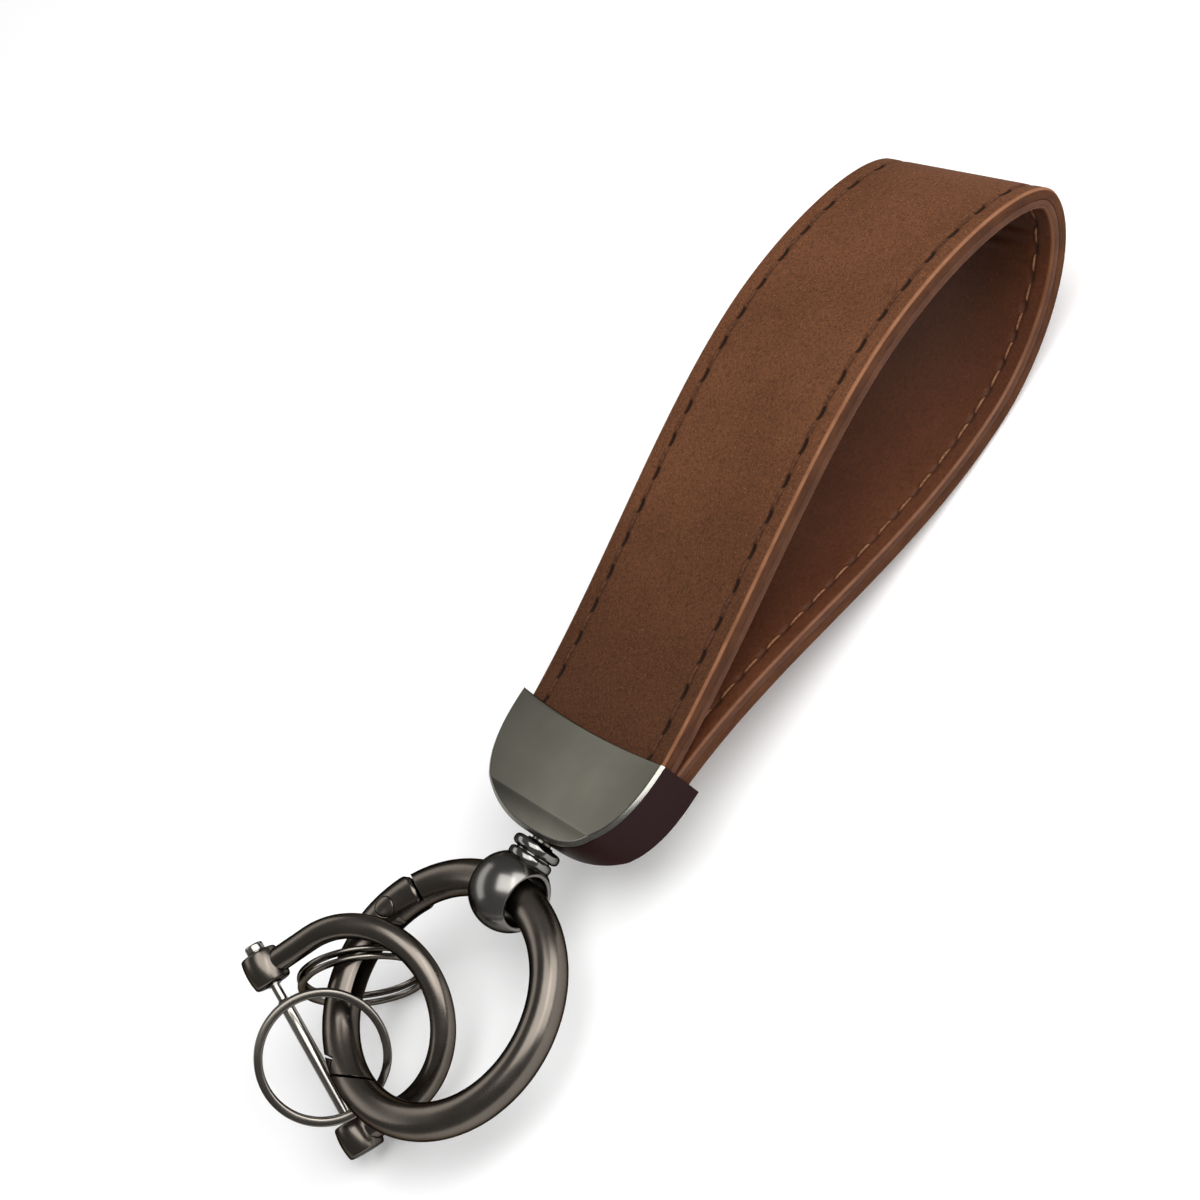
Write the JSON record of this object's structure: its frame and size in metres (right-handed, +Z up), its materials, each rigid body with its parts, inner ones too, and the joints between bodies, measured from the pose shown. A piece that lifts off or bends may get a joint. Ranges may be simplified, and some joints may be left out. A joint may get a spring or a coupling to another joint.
{
  "type": "keychain lanyard",
  "caption": "Folded leather wrist loop in a metal cap, with a swivel ball carrying a spring-gate ring, a horseshoe shackle and split rings for keys.",
  "frame": {"origin": "centre of the bounding box at the surface the lanyard lies on", "axes": "+X from the leather loop towards the rings, +Y along the strap's width towards the side seen in the picture, +Z up out of the surface"},
  "size_m": [0.1552, 0.0466, 0.0278],
  "materials": {
    "strap_leather": "matt brown leather",
    "lining_leather": "smooth brown leather lining",
    "cap_gunmetal": "satin gunmetal plating",
    "ring_gunmetal": "polished gunmetal plating",
    "wire_gunmetal": "dark polished gunmetal plating"
  },
  "bodies": {
    "strap": {"strap_outer": "strap_leather", "strap_lining": "lining_leather", "cap_shell": "cap_gunmetal"},
    "swivel": {"swivel_ball": "ring_gunmetal", "swivel_pin": "wire_gunmetal"},
    "gate_ring": {"ring_body": "ring_gunmetal", "gate_rivet": "ring_gunmetal"},
    "gate": {"ring_gate": "ring_gunmetal"},
    "shackle": {"shackle_bow": "ring_gunmetal"},
    "shackle_screw": {"shackle_pin": "wire_gunmetal"},
    "front_split_ring": {"split_ring_front": "wire_gunmetal"},
    "rear_split_ring": {"split_ring_rear": "wire_gunmetal"}
  },
  "joints": [
    {"name": "swivel_turn", "type": "hinge", "parent": "strap", "child": "swivel", "pos_m": [0.03705, 0.00457, 0.01267], "axis": [0.9993, 0, -0.0376], "continuous": true},
    {"name": "ring_tilt", "type": "hinge", "parent": "swivel", "child": "gate_ring", "pos_m": [0.03705, 0.00457, 0.01267], "axis": [-0.0039, 0.9945, -0.1045], "range_deg": [-110, 110]},
    {"name": "gate_open", "type": "hinge", "parent": "gate_ring", "child": "gate", "pos_m": [0.04775, -0.01017, 0.01356], "axis": [0.0618, 0.1045, 0.9926], "range_deg": [0, 13], "stiffness_Nm_per_rad": 0.004, "springref_deg": -17.19},
    {"name": "shackle_lift", "type": "hinge", "parent": "gate_ring", "child": "shackle", "pos_m": [0.06788, -0.00238, 0.01148], "axis": [-0.4182, -0.9003, 0.1208], "range_deg": [-59, 1]},
    {"name": "shackle_screw_out", "type": "slide", "parent": "shackle", "child": "shackle_screw", "axis": [-0.4182, -0.7012, 0.5775], "range_m": [0, 0.031]},
    {"name": "front_split_ring_swing", "type": "hinge", "parent": "gate", "child": "front_split_ring", "pos_m": [0.06723, -0.00363, 0.01166], "axis": [0.4956, 0.86, -0.1214], "range_deg": [0, 26]},
    {"name": "rear_split_ring_swing", "type": "hinge", "parent": "gate", "child": "rear_split_ring", "pos_m": [0.05455, -0.01167, 0.01329], "axis": [-0.9939, -0.0841, 0.0707], "range_deg": [-24, 18]}
  ],
  "couplings": [
    {"joint": "front_split_ring_swing", "follows": "gate_open", "ratio": 2}
  ]
}
